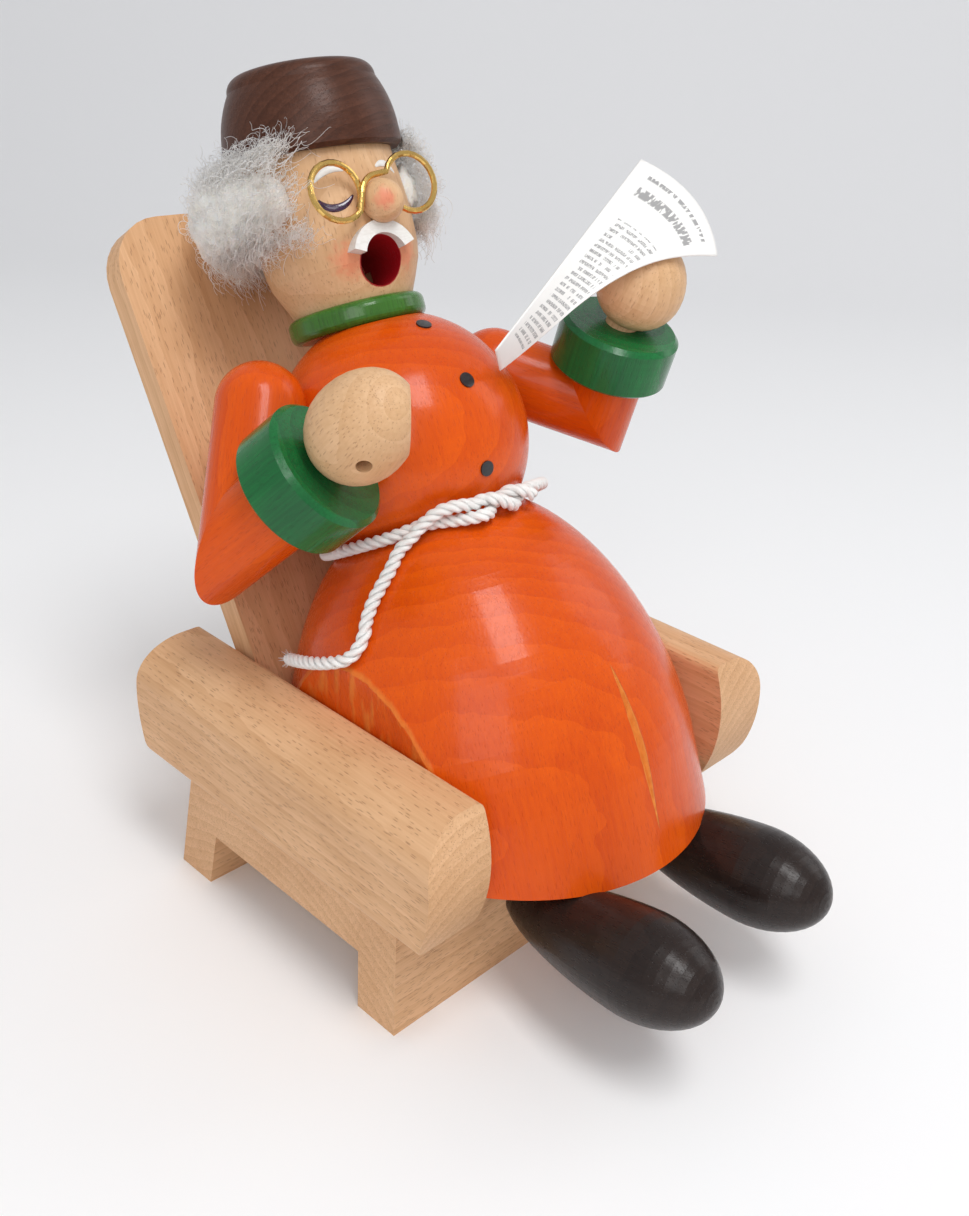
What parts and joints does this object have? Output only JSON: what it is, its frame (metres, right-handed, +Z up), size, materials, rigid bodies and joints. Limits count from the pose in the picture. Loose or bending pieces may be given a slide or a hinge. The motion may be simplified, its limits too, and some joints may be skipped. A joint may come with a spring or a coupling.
{
  "type": "incense smoker",
  "caption": "Turned wooden incense smoker: a dozing bearded figure in an orange gown reads a letter in a low beech armchair, with brass spectacles, cap and cord belt.",
  "frame": {"origin": "middle of the front foot's sole", "axes": "+Z up, -Y the way the chair faces, +X the figure's left"},
  "size_m": [0.1063, 0.1584, 0.1633],
  "materials": {
    "beech": "clear matt lacquer on beech",
    "dowel_wood": "bare",
    "screw_metal": "plain",
    "orange_stain": "orange stain under gloss lacquer",
    "tinplate": "plain",
    "dark_brown_stain": "dark brown stain under satin lacquer",
    "white_cord": "twisted cotton",
    "black_paint": "glossy paint drops",
    "green_stain": "green stain under gloss lacquer",
    "face_wood": "clear lacquer on beech",
    "white_paint": "matt white paint on wood",
    "brass_wire": "polished",
    "white_fleece": "loose fleece",
    "white_paper": null
  },
  "bodies": {
    "chair_and_gown": {"chair_base": "beech", "right_armrest": "beech", "left_armrest": "beech", "backrest": "beech", "armrest_dowels": "dowel_wood", "backrest_dowels": "dowel_wood", "seat_screws": "screw_metal", "gown": "orange_stain", "cone_plate": "tinplate", "plate_nail": "screw_metal", "right_shoe": "dark_brown_stain", "left_shoe": "dark_brown_stain", "shoe_dowels": "dowel_wood", "belt_cord": "white_cord"},
    "upper_body": {"torso": "orange_stain", "buttons": "black_paint", "collar": "green_stain", "head": "face_wood", "hat": "dark_brown_stain", "nose": "face_wood", "moustache": "white_paint", "spectacles": "brass_wire", "hair": "white_fleece", "right_upper_arm": "orange_stain", "left_upper_arm": "orange_stain", "right_forearm": "orange_stain", "left_forearm": "orange_stain", "right_cuff": "green_stain", "left_cuff": "green_stain", "right_hand": "face_wood", "left_hand": "face_wood", "shoulder_dowels": "dowel_wood", "letter": "white_paper"}
  },
  "joints": [
    {"name": "upper_body_lift", "type": "slide", "parent": "chair_and_gown", "child": "upper_body", "axis": [0, 0.454, 0.891], "range_m": [0, 0.045]}
  ]
}
